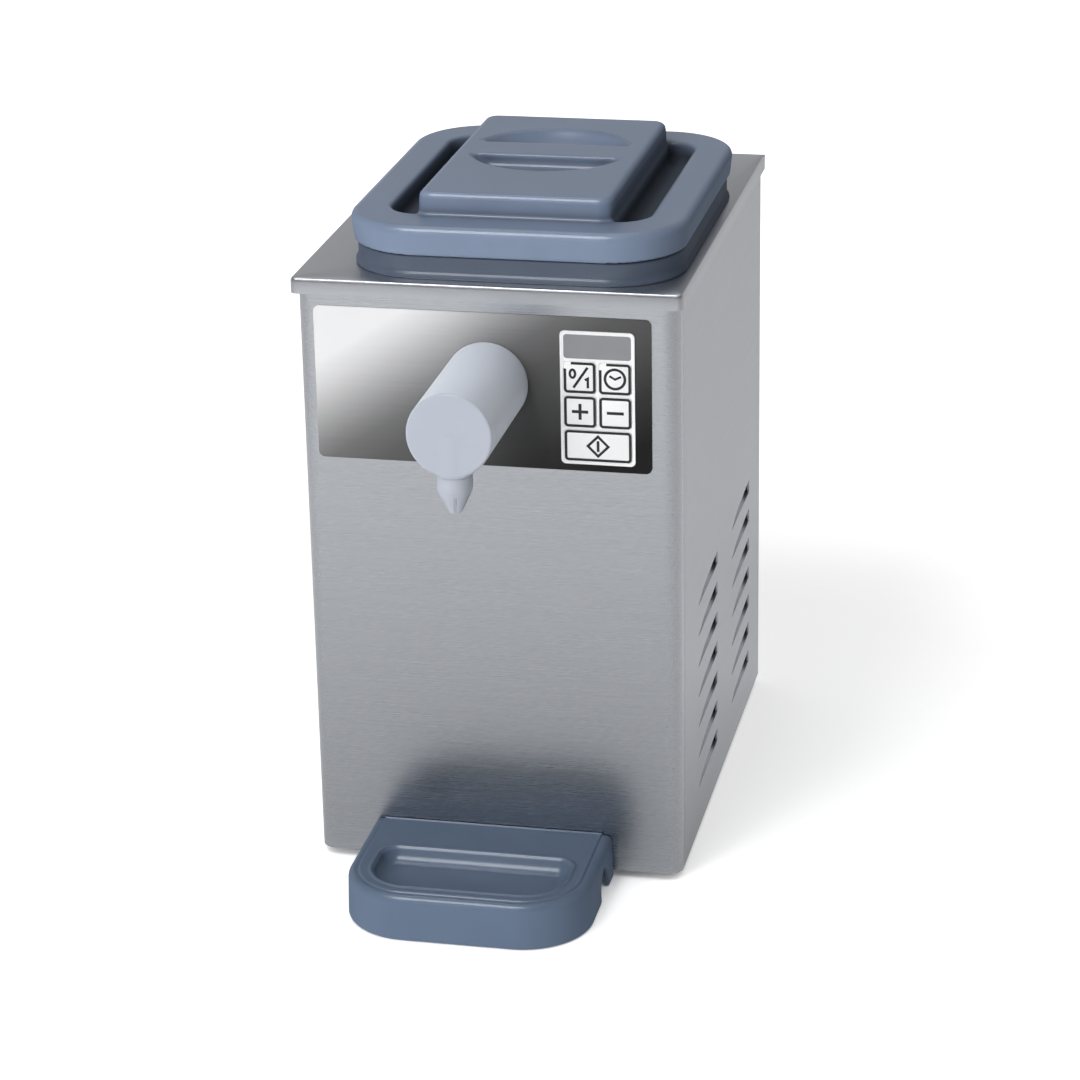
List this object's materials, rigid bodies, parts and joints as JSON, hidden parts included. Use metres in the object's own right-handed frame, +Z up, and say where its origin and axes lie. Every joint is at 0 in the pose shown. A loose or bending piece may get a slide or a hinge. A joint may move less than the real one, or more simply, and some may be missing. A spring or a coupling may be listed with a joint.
{
  "type": "whipped cream dispenser",
  "caption": "Countertop whipped cream dispenser: chilled tank under a lift-off lid, gear pump, twist-off whipping head with star tip, membrane keypad and pull-out drip tray.",
  "frame": {"origin": "on the table, under the middle of the whole object's box", "axes": "+Z up, front with the head towards -Y, +X to the right seen from the front"},
  "size_m": [0.246, 0.442, 0.443],
  "materials": {
    "brushed_steel": "brushed stainless steel",
    "plain_steel": "satin",
    "lid_slate": "semi-gloss moulded",
    "collar_slate": "semi-gloss moulded",
    "tray_slate": "semi-gloss moulded",
    "milky": "milky translucent",
    "pump_plastic": "satin",
    "fascia": "printed overlay, pale to dark",
    "key_white": "satin",
    "bezel_dark": "gloss",
    "display_grey": "gloss",
    "rubber": "matte",
    "board": "solder mask",
    "copper": "plain copper",
    "foam": "rigid foam",
    "enamel": "black enamel",
    "fins": "bare fins"
  },
  "bodies": {
    "casing": {"front_panel": "brushed_steel", "side_panel_left": "brushed_steel", "side_panel_right": "brushed_steel", "rear_panel": "brushed_steel", "top_panel": "brushed_steel", "base_pan": "plain_steel", "panel_screws": "plain_steel", "tray_tongue": "plain_steel", "tank_well": "plain_steel", "suction_pipe": "plain_steel", "pump_body": "plain_steel", "pump_cover": "plain_steel", "cover_screws": "plain_steel", "driven_axle": "plain_steel", "pump_shelf": "plain_steel", "board_posts": "plain_steel", "fan_shroud": "plain_steel", "power_supply": "plain_steel", "tank_collar": "collar_slate", "labyrinth_core": "milky", "head_socket": "milky", "fascia_plate": "fascia", "keypad_bezel": "key_white", "keypad_outline": "key_white", "power_inlet": "bezel_dark", "key_switches": "bezel_dark", "display_window": "display_grey", "display_module": "display_grey", "feet": "rubber", "shaft_seal": "rubber", "head_ring": "rubber", "compressor_mounts": "rubber", "control_board": "board", "evaporator_coil": "copper", "filter_drier": "copper", "refrigerant_lines": "copper", "well_insulation": "foam", "compressor": "enamel", "gear_motor": "enamel", "fan_motor": "enamel", "condenser": "fins"},
    "cream_tank": {"cream_tank": "plain_steel", "tank_outlet": "plain_steel", "outlet_ring": "rubber"},
    "lid": {"lid": "lid_slate", "lid_gasket": "rubber"},
    "drip_tray": {"drip_tray": "tray_slate"},
    "dispensing_head": {"dispensing_head": "milky"},
    "star_tip": {"star_tip": "milky"},
    "key_power": {"key_power": "key_white"},
    "key_timer": {"key_timer": "key_white"},
    "key_plus": {"key_plus": "key_white"},
    "key_minus": {"key_minus": "key_white"},
    "key_start": {"key_start": "key_white"},
    "pump_drive": {"drive_gear": "pump_plastic", "drive_shaft": "plain_steel", "shaft_coupling": "plain_steel", "motor_shaft": "plain_steel"},
    "pump_driven": {"driven_gear": "pump_plastic"},
    "fan": {"fan": "pump_plastic"}
  },
  "joints": [
    {"name": "tank_lift", "type": "slide", "parent": "casing", "child": "cream_tank", "axis": [0, 0, 1], "range_m": [0, 0.16]},
    {"name": "lid_lift", "type": "slide", "parent": "cream_tank", "child": "lid", "axis": [0, 0, 1], "range_m": [0, 0.12]},
    {"name": "tray_pull", "type": "slide", "parent": "casing", "child": "drip_tray", "axis": [0, -1, 0], "range_m": [0, 0.1]},
    {"name": "head_twist", "type": "hinge", "parent": "casing", "child": "dispensing_head", "pos_m": [0, -0.111, 0.333], "axis": [0, 1, 0], "range_deg": [0, 45]},
    {"name": "tip_pull", "type": "slide", "parent": "dispensing_head", "child": "star_tip", "axis": [0, 0, -1], "range_m": [0, 0.03]},
    {"name": "pump_spin", "type": "hinge", "parent": "casing", "child": "pump_drive", "pos_m": [-0.0165, -0.065, 0.333], "axis": [0, 0, 1], "continuous": true},
    {"name": "driven_spin", "type": "hinge", "parent": "casing", "child": "pump_driven", "pos_m": [0.0165, -0.065, 0.333], "axis": [0, 0, 1], "continuous": true},
    {"name": "fan_spin", "type": "hinge", "parent": "casing", "child": "fan", "pos_m": [0.08, 0.102, 0.0942], "axis": [1, 0, 0], "continuous": true},
    {"name": "power_press", "type": "slide", "parent": "casing", "child": "key_power", "axis": [0, 1, 0], "range_m": [0, 0.0007], "stiffness_N_per_m": 1500, "springref_m": -0.001},
    {"name": "timer_press", "type": "slide", "parent": "casing", "child": "key_timer", "axis": [0, 1, 0], "range_m": [0, 0.0007], "stiffness_N_per_m": 1500, "springref_m": -0.001},
    {"name": "plus_press", "type": "slide", "parent": "casing", "child": "key_plus", "axis": [0, 1, 0], "range_m": [0, 0.0007], "stiffness_N_per_m": 1500, "springref_m": -0.001},
    {"name": "minus_press", "type": "slide", "parent": "casing", "child": "key_minus", "axis": [0, 1, 0], "range_m": [0, 0.0007], "stiffness_N_per_m": 1500, "springref_m": -0.001},
    {"name": "start_press", "type": "slide", "parent": "casing", "child": "key_start", "axis": [0, 1, 0], "range_m": [0, 0.0007], "stiffness_N_per_m": 1500, "springref_m": -0.001}
  ],
  "couplings": [
    {"joint": "driven_spin", "follows": "pump_spin", "ratio": -1}
  ]
}
